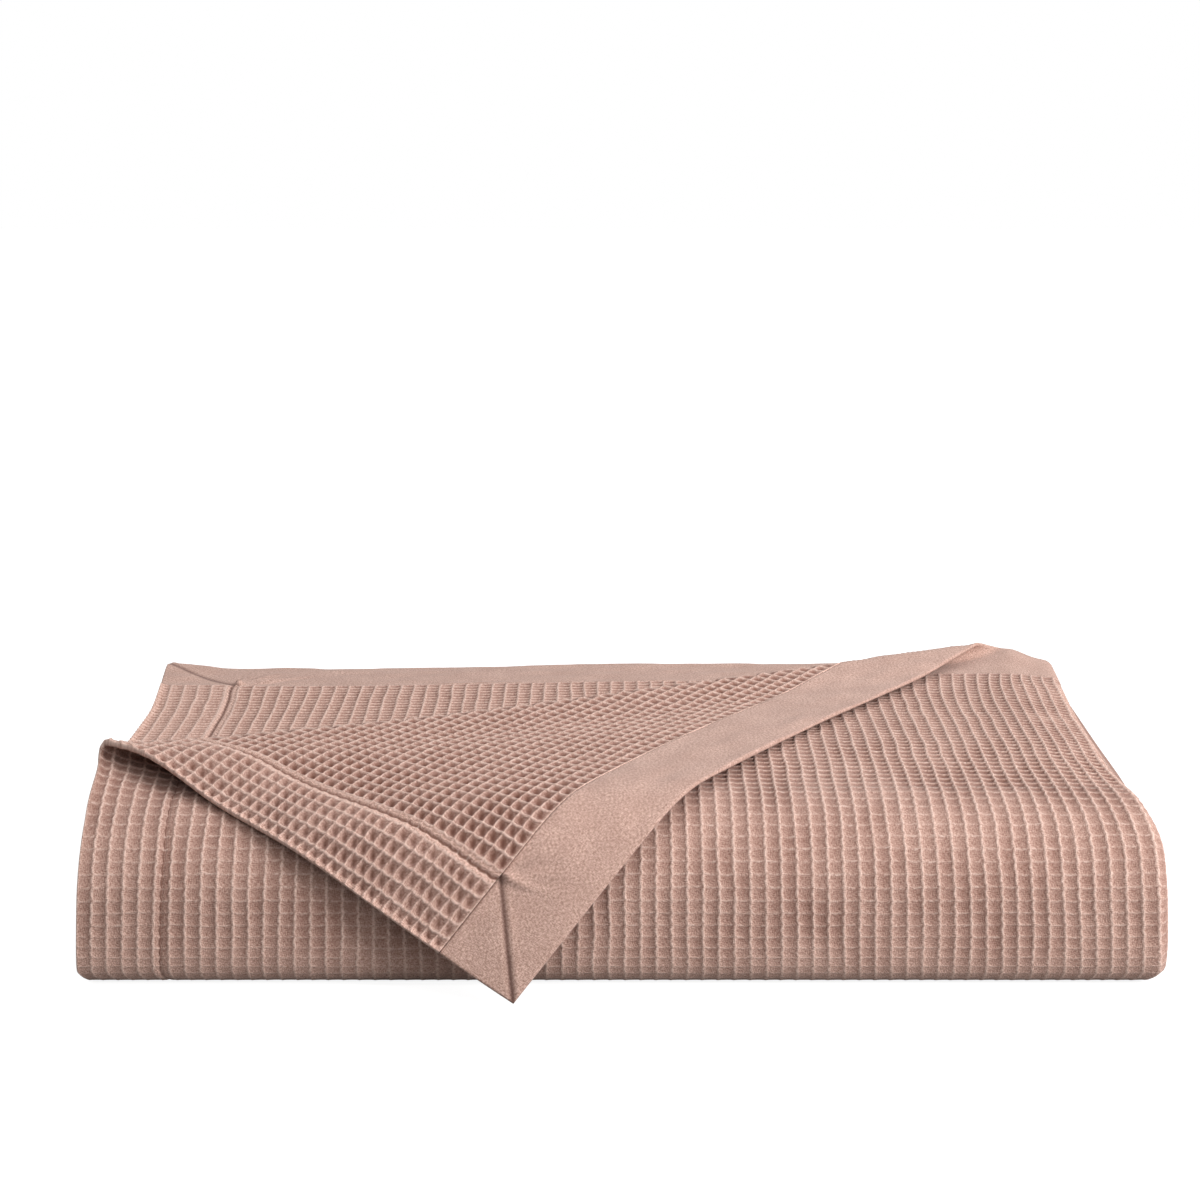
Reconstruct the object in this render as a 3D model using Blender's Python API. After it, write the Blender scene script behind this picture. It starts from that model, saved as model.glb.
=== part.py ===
"""A waffle weave cotton blanket, folded to a stack with one corner of its top layer turned down.

The cloth is laid flat as a slab, cut where it will bend, and carried to its folded place by one map.
Across its width it is folded to a pack of four layers, which is folded back and forth into six runs.
Flat places are (u, v): u from the left edge of the top layer, v from the top layer's back edge.
"""

import math
from bisect import bisect_right
from collections import namedtuple

import bmesh
import bpy
from mathutils import Matrix, Vector

# Cloth, in metres
CLOTH = 0.0024
BAND = 0.050
SEAM_GAP = 0.0005
HEM = 0.045
HEM_STEP = 0.001
HEM_RAISE = 0.0006

# Pack of four layers: mid-plane offsets from the pack's middle, outer side first
LAYER_1 = 0.006175
LAYER_4 = -0.006175
PITCH = 0.00375
LEFT_EDGE = -0.284
ROLL_RIGHT = 0.2800
ROLL_LEFT = -0.279
SECOND_EDGE = -0.282

# Runs of the pack: six levels between the front rolls and the back folds
LEVEL = 0.0163
FIRST_LEVEL = 0.007375
FRONT = 0.0369
BACK = 0.3364
TOP_BACK = 0.360
INNER_BACK = 0.352
TOP_SHORT = 0.0153
MID_Z = FIRST_LEVEL + 2.5 * LEVEL

# How the stack has settled
LEAN = 0.3256
LEAN_FROM = 0.040
LEAN_OVER = 0.1968
LEAN_CORE = 0.006
FOOT = 0.020
FOOT_OVER = 0.0225
SAG = 0.0751
SAG_FROM = 0.1471
SAG_OVER = 0.122
DRAW_IN = 0.0145
DRAW_FROM = 0.069
DRAW_OVER = 0.026
DRAW_X = 0.28
RIGHT_DROP = 0.055
RIGHT_DROP_X = 0.235
RIGHT_DROP_OVER = 0.055
SHOULDER_OUT = 0.75
SHOULDER_UP = 1.30
SHOULDER_OVER = 0.12
CORNER_OUT = 0.90
CORNER_UP = 0.50
CORNER_FROM = 0.20
CORNER_OVER = 0.15
LEFT_DROP = 0.036
DROP_X = 0.05
DROP_OVER = 0.25
DROP_BACK = 0.05
WANDER = 0.0016
WANDER_RATE = 6.3

# Turned corner: where the fold meets the left and back edges, and the lie of the turned part
TURN_V = 0.2877
TURN_U = 0.5136
TURN_X = -0.2755
TURN_D = 0.3601
TURN_Z = 0.0965
REST_LIFT = 0.0042
EDGE_LIFT = 0.0139
EDGE_FADE = 0.0746
AXIS = 0.3161
SLOPE_AT = 0.2950
SLOPE_OVER = 0.0283
SLOPE = 0.0285
EDGE_SLOPE = 1.1150
DROP_AT = 0.3560
DROP_AT_TIP = 0.0844
FALL_OVER = 0.0705
FALL = 1.5350
FALL_TIP = -0.9064
TIP_SPAN = 0.5
WARP_X = -0.0096
WARP_D = -0.0195
INTEGRAL_STEPS = 36

# Fold of the turned corner
CREASE_BOW = 0.00615
LOOP_HEIGHT = 0.0110
LOOP_LEFT = 0.0072
LOOP_REACH = 0.785
LOOP_HANDLE = 0.849
LOOP_FADE = 0.12
BULGE_OVER = 0.055
TENT = 0.0135
TENT_FADE = 0.070
TENT_OVER = 0.044
TENT_POWER = 1.3
TENT_OUT = 0.006
NEAR_FOLD = 0.040
SHIFT_OVER = 0.11
SHIFT_LEFT = 0.025

# Second layer's free corner
FLARE = 0.0075
CURL = 0.004
CURL_OVER = 0.045

CENTRE_D = 0.1545
NORMAL_STEP = 0.0002
ROLL_STEPS = 6
SMALL_ROLL_STEPS = 4
LAYER_STEPS = 4
RUN_STEPS = 7

Leg = namedtuple("Leg", "start span length turn along up heading steps")
Colour = namedtuple("Colour", "node red green blue roughness")
COLOURS = (
    Colour("waffle_cloth", 0.56, 0.34, 0.27, 0.92),
    Colour("end_band_top", 0.60, 0.38, 0.31, 0.90),
    Colour("end_band_inner", 0.60, 0.38, 0.31, 0.90),
)


def smooth(part):
    """Ease from 0 to 1."""
    part = min(max(part, 0.0), 1.0)
    return part * part * (3.0 - 2.0 * part)


def point_on(leg, part):
    """Place and heading at a part of one leg, which is straight or an arc."""
    heading = leg.heading + leg.turn * part
    if leg.turn == 0.0:
        reach = leg.length * part
        return (leg.along + reach * math.cos(heading), leg.up + reach * math.sin(heading), heading)
    radius = leg.length / leg.turn
    along = leg.along + radius * (math.sin(heading) - math.sin(leg.heading))
    up = leg.up - radius * (math.cos(heading) - math.cos(leg.heading))
    return (along, up, heading)


def lay_out(start, heading, pieces):
    """Join pieces of (span of cloth, length, turn, steps) end to end."""
    legs = []
    begun = 0.0
    along, up = start
    for span, length, turn, steps in pieces:
        legs.append(Leg(begun, span, length, turn, along, up, heading, steps))
        along, up, heading = point_on(legs[-1], 1.0)
        begun += span
    return legs


def straight(length, steps, short=0.0):
    """A straight piece, which can take less cloth than its length before it leans."""
    return (length - short, length, 0.0, steps)


def half_turn(radius, way, steps, offset=0.0):
    """Half a circle, with its cloth measured on a layer that lies offset to the outer side."""
    return (math.pi * (radius + way * offset), math.pi * radius, way * math.pi, steps)


def across_route():
    """Section of the pack: layer 1, round to layer 4, back under itself, and out again as layer 2."""
    layer_2 = LAYER_4 + 2.0 * PITCH
    pieces = (
        straight(ROLL_RIGHT - LEFT_EDGE, LAYER_STEPS),
        half_turn(LAYER_1, -1, ROLL_STEPS),
        straight(ROLL_RIGHT - ROLL_LEFT, LAYER_STEPS),
        half_turn(PITCH / 2.0, -1, SMALL_ROLL_STEPS),
        straight(ROLL_RIGHT - ROLL_LEFT, LAYER_STEPS),
        half_turn((layer_2 - LAYER_4 - PITCH) / 2.0, 1, SMALL_ROLL_STEPS),
        straight(ROLL_RIGHT - SECOND_EDGE, LAYER_STEPS),
    )
    return lay_out((LEFT_EDGE, LAYER_1), 0.0, pieces)


def along_route():
    """Six runs of the pack, level 6 first, with its front rolls inside one another."""
    run = BACK - FRONT
    outer, middle, inner = (LEVEL * half for half in (2.5, 1.5, 0.5))
    pieces = (
        straight(TOP_BACK - BACK, 1),
        straight(run, RUN_STEPS, TOP_SHORT),
        half_turn(outer, 1, 10, LAYER_1),
        straight(run, LAYER_STEPS),
        half_turn(inner, 1, 5, LAYER_1),
        straight(run, RUN_STEPS),
        half_turn(middle, -1, 6, LAYER_1),
        straight(run, RUN_STEPS),
        half_turn(inner, -1, 5, LAYER_1),
        straight(run, RUN_STEPS),
        half_turn(inner, 1, 5, LAYER_1),
        straight(run, RUN_STEPS),
        straight(INNER_BACK - BACK, 1),
    )
    top = FIRST_LEVEL + 5.0 * LEVEL
    return lay_out((TOP_BACK, top), math.pi, pieces)


ACROSS = across_route()
ALONG = along_route()
WIDTH = ACROSS[-1].start + ACROSS[-1].span
LENGTH = ALONG[-1].start + ALONG[-1].span
FIRST_LAYER = ACROSS[0].span
FOLD = math.hypot(TURN_V, TURN_U)
FOLD_U = TURN_U / FOLD
FOLD_V = TURN_V / FOLD


def place(legs, distance):
    """Place and heading at a distance of cloth along a route."""
    starts = [leg.start for leg in legs]
    leg = legs[max(bisect_right(starts, distance) - 1, 0)]
    return point_on(leg, (distance - leg.start) / leg.span)


def stations(legs):
    """Distances of cloth where a route is cut."""
    return [leg.start + leg.span * step / leg.steps for leg in legs for step in range(leg.steps)][1:]


def settle(x, d, z, v, pack_z):
    """Lean and sag a place in the square stack to where the cloth has settled."""
    above = z - MID_Z
    lean = LEAN * above ** 3 / (above * above + LEAN_CORE * LEAN_CORE)
    foot = FOOT * (1.0 - smooth(z / FOOT_OVER))
    d += (lean - foot) * (1.0 - smooth((d - LEAN_FROM) / LEAN_OVER))
    height = smooth((pack_z - DRAW_FROM) / DRAW_OVER)
    edge = (min(abs(x), ROLL_RIGHT) / DRAW_X) ** 4
    x += WANDER * math.sin(WANDER_RATE * v) * smooth((v - TOP_BACK) / TOP_BACK) * edge
    shoulder = 1.0 - smooth(d / SHOULDER_OVER)
    if x > 0.0:
        slack = CORNER_OUT * smooth((d - CENTRE_D) / BACK) + SHOULDER_OUT * shoulder
        x -= DRAW_IN * height * edge * (1.0 - slack)
    z *= 1.0 - SAG * smooth((SAG_FROM - d) / SAG_OVER)
    corner = smooth((d - CORNER_FROM) / CORNER_OVER)
    drop = RIGHT_DROP * (1.0 - SHOULDER_UP * shoulder - CORNER_UP * corner)
    z *= 1.0 - drop * smooth((x - RIGHT_DROP_X) / RIGHT_DROP_OVER)
    z *= 1.0 - LEFT_DROP * smooth((DROP_X - x) / DROP_OVER) * smooth((d - DROP_BACK) / LEAN_OVER)
    return Vector((x, d, z))


def stack_point(u, v):
    """Middle of the cloth in the stack, before any corner is turned."""
    x, offset, _ = place(ACROSS, u)
    d, z, heading = place(ALONG, v)
    spot = settle(x, d + math.sin(heading) * offset, z - math.cos(heading) * offset, v, z)
    from_corner = math.hypot(WIDTH - u, v)
    near = 1.0 - smooth(from_corner / (3.0 * CURL_OVER))
    spot.x -= FLARE * near
    spot.z += CURL * (1.0 - smooth(from_corner / CURL_OVER))
    return spot


def from_fold(u, v):
    """Distance along the fold of the turned corner, and across it on to the stack."""
    along = (u * TURN_U - (v - TURN_V) * TURN_V) / FOLD
    across = (u / TURN_U + v / TURN_V - 1.0) * TURN_U * TURN_V / FOLD
    return along, across


def to_flat(along, across):
    """Flat place from the distances that from_fold gives."""
    return (along * FOLD_U + across * FOLD_V, TURN_V - along * FOLD_V + across * FOLD_U)


def turned_axes(u, v):
    """Plan place of the turned corner: reflected in its fold, along and across its bending axis."""
    along, across = from_fold(u, v)
    p = along * FOLD_U - across * FOLD_V
    q = TURN_V - (along * FOLD_V + across * FOLD_U)
    cos_axis, sin_axis = math.cos(AXIS), math.sin(AXIS)
    return p, p * cos_axis - q * sin_axis, p * sin_axis + q * cos_axis


def slope_at(reach, edge, tip):
    """Downward angle of the turned part at a reach across its bending axis."""
    first = SLOPE + EDGE_SLOPE * edge
    last = FALL + FALL_TIP * tip
    angle = first * smooth((reach - SLOPE_AT) / SLOPE_OVER + 0.5)
    return angle + (last - first) * smooth((reach - DROP_AT - DROP_AT_TIP * tip) / FALL_OVER + 0.5)


def lie_point(u, v):
    """Middle of the turned part, from where it lies flat to where it falls to the floor."""
    p, beside, reach = turned_axes(u, v)
    edge = math.exp(-max(from_left(u, v), 0.0) / EDGE_FADE)
    tip = p / TIP_SPAN
    level = SLOPE_AT - 0.5 * SLOPE_OVER
    span = max(reach - level, 0.0)
    ahead = min(reach, level)
    fall = 0.0
    for step in range(INTEGRAL_STEPS):
        angle = slope_at(level + span * (step + 0.5) / INTEGRAL_STEPS, edge, tip)
        ahead += math.cos(angle) * span / INTEGRAL_STEPS
        fall += math.sin(angle) * span / INTEGRAL_STEPS
    warp = 4.0 * tip * (1.0 - tip)
    x = TURN_X + beside * math.cos(AXIS) + ahead * math.sin(AXIS) + WARP_X * warp
    d = TURN_D + beside * math.sin(AXIS) - ahead * math.cos(AXIS) + WARP_D * warp
    return Vector((x, d, TURN_Z + REST_LIFT + EDGE_LIFT * edge - fall))


def crease_at(along):
    """How far the crease bows on to the stack."""
    part = min(max(along / FOLD, 0.0), 1.0)
    return CREASE_BOW * 4.0 * part * (1.0 - part)


def tent(along, rise):
    """Lift and outward push of the cloth near the left end of the crease."""
    share = rise * math.exp(-max(along, 0.0) / TENT_FADE)
    return Vector((-TENT_OUT * share, 0.0, TENT * share))


def lower_point(along, across):
    """Middle of the top layer under the turned part, drawn to meet it at the crease."""
    u, v = to_flat(along, across)
    spot = stack_point(max(u, 0.0), max(v, 0.0))
    held = min(max(along, 0.0), FOLD)
    crease = crease_at(held)
    past = across - crease
    over = SHIFT_LEFT + (SHIFT_OVER - SHIFT_LEFT) * smooth(held / LOOP_FADE)
    fade = (1.0 - smooth(past / over)) * (1.0 - smooth((u - TURN_U) / (FIRST_LAYER - TURN_U)))
    if fade > 0.0:
        edge_u, edge_v = to_flat(held, crease)
        shift = lie_point(edge_u, edge_v) - stack_point(max(edge_u, 0.0), max(edge_v, 0.0))
        shift.z = 0.0
        spot += shift * fade
    return spot + tent(along, max(1.0 - max(past, 0.0) / TENT_OVER, 0.0) ** TENT_POWER)


def loop_height(along):
    return LOOP_LEFT + (LOOP_HEIGHT - LOOP_LEFT) * smooth(along / LOOP_FADE)


def upper_point(along, across):
    """Middle of the turned part, lifted beside the crease to leave room for the loop."""
    u, v = to_flat(along, across)
    spot = lie_point(u, v)
    crease = crease_at(along)
    past = crease - across
    fade = 1.0 - smooth(past / BULGE_OVER)
    if fade > 0.0:
        at_crease = lie_point(*to_flat(along, crease)).z
        wanted = lower_point(along, crease).z + loop_height(along)
        spot.z += (wanted - at_crease) * fade
        spot.x += tent(along, fade).x
    return spot


def loop_point(along, past, reach):
    """Middle of the loop that joins the lower layer to the turned part."""
    crease = crease_at(along)
    part = 0.5 - 0.5 * past / reach
    ends = []
    for point, side in ((lower_point, 1.0), (upper_point, -1.0)):
        end = point(along, crease + side * reach)
        beyond = point(along, crease + side * (reach + NORMAL_STEP))
        ends.append((end, (end - beyond).normalized() * LOOP_HANDLE * reach))
    (first, first_handle), (last, last_handle) = ends
    rest = 1.0 - part
    spot = first * rest ** 3 + (first + first_handle) * 3.0 * rest * rest * part
    return spot + (last + last_handle) * 3.0 * rest * part * part + last * part ** 3


def sheet_point(u, v):
    """Middle of the cloth anywhere."""
    if u > FIRST_LAYER or v > ALONG[2].start + NEAR_FOLD:
        return stack_point(u, v)
    along, across = from_fold(u, v)
    reach = LOOP_REACH * loop_height(along)
    past = across - crease_at(along)
    if past >= reach:
        return lower_point(along, across)
    if past <= -reach:
        return upper_point(along, across)
    return loop_point(along, past, reach)


def cloth_point(u, v, height):
    """Place in the folded cloth, at a height above its middle on its face side."""
    low_u, high_u = max(u - NORMAL_STEP, 0.0), min(u + NORMAL_STEP, WIDTH)
    low_v, high_v = max(v - NORMAL_STEP, 0.0), min(v + NORMAL_STEP, LENGTH)
    along_u = sheet_point(high_u, v) - sheet_point(low_u, v)
    along_v = sheet_point(u, high_v) - sheet_point(u, low_v)
    spot = sheet_point(u, v) + along_v.cross(along_u).normalized() * height
    spot.y -= CENTRE_D
    spot.z = max(spot.z, 0.0)
    return spot


def cut(mesh, measure, value, inside):
    """Cut the slab where a straight measure of (u, v) takes a value, in the faces that are inside."""
    zero = measure(0.0, 0.0)
    across = Vector((measure(1.0, 0.0) - zero, measure(0.0, 1.0) - zero, 0.0))
    spot = across * ((value - zero) / across.length_squared)
    faces = [face for face in mesh.faces if all(inside(vert.co) for vert in face.verts)]
    edges = {edge for face in faces for edge in face.edges}
    verts = {vert for face in faces for vert in face.verts}
    geometry = [*verts, *edges, *faces]
    bmesh.ops.bisect_plane(mesh, geom=geometry, plane_co=spot, plane_no=across, dist=1e-7)


def everywhere(_):
    return True


def near_fold(spot):
    return spot.x < FIRST_LAYER + NORMAL_STEP and spot.y < ALONG[2].start + NEAR_FOLD


def on_turned(spot):
    reach = LOOP_REACH * LOOP_HEIGHT
    return near_fold(spot) and from_fold(spot.x, spot.y)[1] < NORMAL_STEP - reach


def across_fold(u, v):
    return from_fold(u, v)[1]


def across_axis(u, v):
    return turned_axes(u, v)[2]


def from_left(u, v):
    return turned_axes(u, v)[1] + TURN_V * math.sin(AXIS)


def past_drop(u, v):
    p, _, reach = turned_axes(u, v)
    return reach - DROP_AT_TIP * p / TIP_SPAN


def cut_stations(mesh):
    """Cut the slab at every station of both routes and at the steps of its hems."""
    for value in (HEM, HEM + HEM_STEP, WIDTH - HEM - HEM_STEP, WIDTH - HEM, *stations(ACROSS)):
        cut(mesh, lambda u, v: u, value, everywhere)
    for value in stations(ALONG):
        cut(mesh, lambda u, v: v, value, everywhere)


def cut_turned(mesh):
    """Cut the slab along the fold of its turned corner and along the bends of the turned part."""
    reach = LOOP_REACH * LOOP_HEIGHT
    for step in range(12):
        cut(mesh, across_fold, -reach + step * (2.0 * reach + CREASE_BOW) / 11.0, near_fold)
    for value in (TENT_OVER * 0.6, TENT_OVER, 0.5 * SHIFT_OVER, SHIFT_OVER):
        cut(mesh, across_fold, value, near_fold)
    cut(mesh, across_fold, -0.5 * (reach + BULGE_OVER), on_turned)
    cut(mesh, across_fold, -BULGE_OVER, on_turned)
    for value in (0.02, 0.05, 0.10, 0.17):
        cut(mesh, from_left, value, on_turned)
    for step in range(5):
        cut(mesh, across_axis, SLOPE_AT + SLOPE_OVER * (step / 4.0 - 0.5), on_turned)
    for step in range(7):
        cut(mesh, past_drop, DROP_AT + FALL_OVER * (step / 6.0 - 0.5), on_turned)


def side_height(spot):
    """Height of a slab corner above the cloth's middle: hems are thicker on the wrong side."""
    height = math.copysign(0.5 * CLOTH, spot.z)
    from_edge = min(spot.x, WIDTH - spot.x)
    if height < 0.0:
        height -= HEM_RAISE * smooth((HEM + HEM_STEP - from_edge) / HEM_STEP)
    return height


def make_piece(colour, v_from, v_to, collection):
    """Build one maker's piece from its span of the flat cloth."""
    mesh = bmesh.new()
    size = Matrix.Diagonal((WIDTH, v_to - v_from, CLOTH, 1.0))
    middle = Matrix.Translation((WIDTH / 2.0, (v_from + v_to) / 2.0, 0.0))
    bmesh.ops.create_cube(mesh, size=1.0, matrix=middle @ size)
    cut_stations(mesh)
    cut_turned(mesh)
    bmesh.ops.triangulate(mesh, faces=mesh.faces[:])
    bmesh.ops.recalc_face_normals(mesh, faces=mesh.faces[:])
    for vert in mesh.verts:
        vert.co = cloth_point(vert.co.x, vert.co.y, side_height(vert.co))
    bmesh.ops.reverse_faces(mesh, faces=mesh.faces[:])
    data = bpy.data.meshes.new(colour.node)
    mesh.to_mesh(data)
    mesh.free()
    data.materials.append(make_material(colour))
    piece = bpy.data.objects.new(colour.node, data)
    collection.objects.link(piece)
    return piece


def make_material(colour):
    material = bpy.data.materials.new(colour.node)
    material.use_nodes = True
    shader = material.node_tree.nodes["Principled BSDF"]
    shader.inputs["Base Color"].default_value = (colour.red, colour.green, colour.blue, 1.0)
    shader.inputs["Roughness"].default_value = colour.roughness
    return material


def main():
    for old in list(bpy.data.objects):
        bpy.data.objects.remove(old)
    collection = bpy.data.collections.new("waffle_blanket")
    bpy.context.scene.collection.children.link(collection)
    half_gap = SEAM_GAP / 2.0
    spans = (
        (BAND + half_gap, LENGTH - BAND - half_gap),
        (0.0, BAND - half_gap),
        (LENGTH - BAND + half_gap, LENGTH),
    )
    for colour, (v_from, v_to) in zip(COLOURS, spans):
        make_piece(colour, v_from, v_to, collection)


main()
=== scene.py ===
"""Looks of a folded waffle weave blanket: the fold of its solids, with its weave, hems, bands and light.

A place in the flat cloth is (u, v): u from the left edge of the top layer, v from that layer's back edge.
Every piece is a closed slab over a grid of flat places, carried to its folded place by fold_points().
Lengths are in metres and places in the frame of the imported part.
"""

import math
from collections import namedtuple

import bpy
import numpy as np
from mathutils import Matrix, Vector

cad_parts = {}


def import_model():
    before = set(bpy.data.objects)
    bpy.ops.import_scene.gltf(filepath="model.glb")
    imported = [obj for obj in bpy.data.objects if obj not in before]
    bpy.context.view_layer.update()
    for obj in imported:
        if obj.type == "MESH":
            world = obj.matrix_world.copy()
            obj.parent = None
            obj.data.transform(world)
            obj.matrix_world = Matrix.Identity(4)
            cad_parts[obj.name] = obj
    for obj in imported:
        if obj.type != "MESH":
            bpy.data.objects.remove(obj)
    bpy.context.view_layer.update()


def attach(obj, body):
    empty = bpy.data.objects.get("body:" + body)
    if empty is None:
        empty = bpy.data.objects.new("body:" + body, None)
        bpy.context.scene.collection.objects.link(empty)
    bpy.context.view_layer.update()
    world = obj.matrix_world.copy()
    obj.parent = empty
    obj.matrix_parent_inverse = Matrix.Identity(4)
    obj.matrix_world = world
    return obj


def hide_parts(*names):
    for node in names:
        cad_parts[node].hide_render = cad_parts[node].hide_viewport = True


# Cells of the waffle cloth: their width across it, their length along it, and where the grid cuts them
COLUMN = 0.0082
ROW = 0.00675
CELL_STEPS = (0.0, 0.13, 0.5, 0.87)

# Crests above the middle of the cloth, pits below it, and what is left of the cloth and its hidden side
CREST = 0.0012
FACE_PIT = 0.0005
WRONG_PIT = 0.0019
THIN = 0.0005
PIT = 0.0002

# Heights of the face over a cell's steps: scalloped ribs, and rows that stand lower in front
FACE_RIB = (1.0, 0.55, 0.20, 0.30)
FACE_ROW = (1.0, 0.10, 0.10, 0.70)
ROWS_ON_TOP = 0.80
ROWS_IN_FRONT = 0.28
WRONG_POWER = 1.2
RIB_BOW = 0.09
ROW_BOW = 0.08

# Depth of the pits and the painted shade in them: beside the band, on top, in front, over the hem and where
# folds press them, and an even painted shade where the cells are only bump
START_DEPTH = 0.3
START_ROWS = 0.4
FRONT_OVER = 0.05
# Painted shade in the pits: its share on top and in front
PIT_SHADE_ON_TOP = 0.62
PIT_SHADE_IN_FRONT = 0.46
FRONT_EASED = 0.30
HEM_EASED = 0.22
HEM_EASED_OVER = 0.001
PRESSED = 0.7
PRESSED_FROM = 0.400
PRESSED_OVER = 0.035
# Even painted shade for pits that are only bump
PLAIN_PIT_SHADE = 0.3

# Unevenness of the weave and of the painted shade in its pits: share, size and seed
RIB_DRIFT = (0.07, 0.021, 11)
ROW_DRIFT = (0.09, 0.017, 12)
DEPTH_DRIFT = (0.2, 0.012, 13)
PIT_SHADE_DRIFT = (0.3, 0.026, 14)

# Turned hems: a raised width of whole columns that ends in two knotted ridges beside a stitch line
HEM_COLUMNS = 5
HEM_RAISE = 0.0007
HEM_FALL = 0.0016
HEM_RIDGES = (0.0422, 0.0466)
HEM_RIDGE = 0.0011
HEM_RIDGE_OVER = 0.0015
HEM_KNOTS = 0.25
HEM_STITCH = 0.0445
STITCH_DEEP = 0.0008
STITCH_OVER = 0.0012
# Painted shade along the stitch line's groove
STITCH_SHADE = 0.6
FACE_STITCH_DEEP = 0.0009
FACE_STITCH_OVER = 0.0014
TURNING_MARGIN = 0.0006
TURNING_IN = 0.0012
TURNING_OUT = 0.0018
HEM_CUTS = (HEM_RIDGES[0], 0.0433, HEM_STITCH, 0.0456, HEM_RIDGES[1], 0.0482)
HEM_ROUGH_CUTS = (0.041, HEM_STITCH, 0.048)

# Rims: rounded all round, and rolled along the side edges that lie on top
EDGE_ROUND = 0.0006
RIM_HEIGHT = 0.4
EDGE_ROLL = 0.0014
EDGE_ROLL_AT = 0.0014
EDGE_ROLL_OVER = 0.0034
EDGE_ROLL_EVEN = 0.65
EDGE_CUTS = (0.0006, 0.0020, 0.0031)

# Plain end bands, with soft creases (depth, size and seed) and a mitre whose groove has one lip
BAND = 0.050
BAND_HALF = 0.0011
BAND_THIN = 0.0004
SEAM_GAP = 0.0004
BAND_CREASE = (0.00055, 0.022, 21)
BAND_CREASE_SQUEEZE = 2.2
BAND_RIPPLE = (0.00025, 0.009, 22)
MITRE_SLOPE = 0.94
MITRE_DEEP = 0.0009
MITRE_OVER = 0.0020
LIP_HIGH = 0.0004
LIP_AT = 0.0028
LIP_OVER = 0.0022

# Creases that fan out from the inner end of the mitre: angle, length and depth of each
FAN_U = 0.046
FAN_V = 0.0485
FAN_CREASES = ((0.55, 0.060, 0.0022), (0.95, 0.048, 0.0020), (1.30, 0.040, 0.0017))
FAN_START = 0.004
FAN_OVER = 0.0030
FAN_DIP = 0.7
FAN_DIP_AT = 0.0045
FAN_DIP_OVER = 0.0035

# Pack of four layers: height of its outer layers about its middle, pitch of the layers, and its ends
LAYER_1 = 0.006175
PITCH = 0.00375
LEFT_EDGE = -0.284
ROLL_RIGHT = 0.2800
ROLL_LEFT = -0.279
SECOND_EDGE = -0.282

# Runs of the pack: six levels, between its rolls in front and its back
LEVEL = 0.0163
FIRST_LEVEL = 0.007375
FRONT = 0.0369
BACK = 0.3364
TOP_BACK = 0.360
INNER_BACK = 0.352
TOP_SHORT = 0.0153
MID_Z = FIRST_LEVEL + 2.5 * LEVEL

# How the stack has settled: its front leans back with height, over a fuller foot with tucked corners
LEAN = 0.3256
LEAN_FROM = 0.040
LEAN_OVER = 0.1968
FOOT = 0.022
FOOT_OVER = 0.044
TUCK = 0.006
TUCK_OVER = 0.010

# The front sags, and the right side is drawn in near the top and drops, but less at the front shoulder and
# at the back corner
SAG = 0.0751
SAG_FROM = 0.1471
SAG_OVER = 0.122
DRAW_IN = 0.0145
DRAW_FROM = 0.069
DRAW_OVER = 0.026
DRAW_X = 0.28
RIGHT_DROP = 0.055
RIGHT_DROP_X = 0.235
RIGHT_DROP_OVER = 0.055
SHOULDER_OUT = 0.75
SHOULDER_UP = 1.30
SHOULDER_OVER = 0.12
CORNER_OUT = 0.90
CORNER_UP = 0.50
CORNER_FROM = 0.20
CORNER_OVER = 0.15

# The left part lies lower towards the back, and the rolls at both sides wander
LEFT_DROP = 0.036
DROP_X = 0.05
DROP_OVER = 0.25
DROP_BACK = 0.05
WANDER = 0.0016
WANDER_RATE = 6.3

# Turned corner: the triangle of cloth that it takes, where the left end of its crease lies, and its lift
TURN_V = 0.2877
TURN_U = 0.5136
TURN_X = -0.2755
TURN_D = 0.3601
TURN_Z = 0.0965
REST_LIFT = 0.0042
EDGE_LIFT = 0.0139
EDGE_FADE = 0.0746

# Its bend about a slanting axis: angles downward at reaches across the axis, on top and over the front, and
# how they differ at its free edge and towards its tip
AXIS = 0.3161
SLOPE_AT = 0.2950
SLOPE_OVER = 0.0283
SLOPE = 0.0285
EDGE_SLOPE = 1.1150
DROP_AT = 0.3560
DROP_AT_TIP = 0.0844
FALL_OVER = 0.0705
FALL = 1.5350
FALL_TIP = -0.9064
TIP_SPAN = 0.5
WARP_X = -0.0096
WARP_D = -0.0195
INTEGRAL_STEPS = 36

# Fold of the turned corner: a bowed crease with a loop of cloth, which tents at its left end
CREASE_BOW = 0.00615
LOOP_HEIGHT = 0.0110
LOOP_LEFT = 0.0072
LOOP_REACH = 0.785
LOOP_HANDLE = 0.849
LOOP_FADE = 0.12
BULGE_OVER = 0.055
TENT = 0.0135
TENT_FADE = 0.070
TENT_OVER = 0.044
TENT_POWER = 1.3
TENT_OUT = 0.0095
RIGHT_RISE = 0.005
RIGHT_RISE_U = 0.532
RIGHT_RISE_OVER = 0.036
NEAR_FOLD = 0.040
SHIFT_OVER = 0.11
SHIFT_LEFT = 0.045

# Second layer's free corner
FLARE = 0.0075
CURL = 0.004
CURL_OVER = 0.045
FLARE_OVER = 0.135

# Depth of the frame's middle, and a step small enough for normals and for telling cuts apart
CENTRE_D = 0.1545
NORMAL_STEP = 0.0002

# Blocks of modelled cells, in whole cells
TOP_COLUMNS = 71
TOP_ROWS = 38
FRONT_ROWS = 22
SECOND_COLUMNS = 65
SECOND_ROWS = 35

# Grid of the fine band: near its corners, along it and across it
BAND_CORNER_STEP = 0.001
BAND_LONG_STEP = 0.003
BAND_CROSS_STEP = 0.002
INNER_BAND_CUTS = 6

# Photograph's camera
CAMERA_X = -0.0105
CAMERA_BACK = 1.450
CAMERA_UP = 0.485
CAMERA_DOWN = math.radians(11.003)
LENS = 86.01
SENSOR = 36.0

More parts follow.
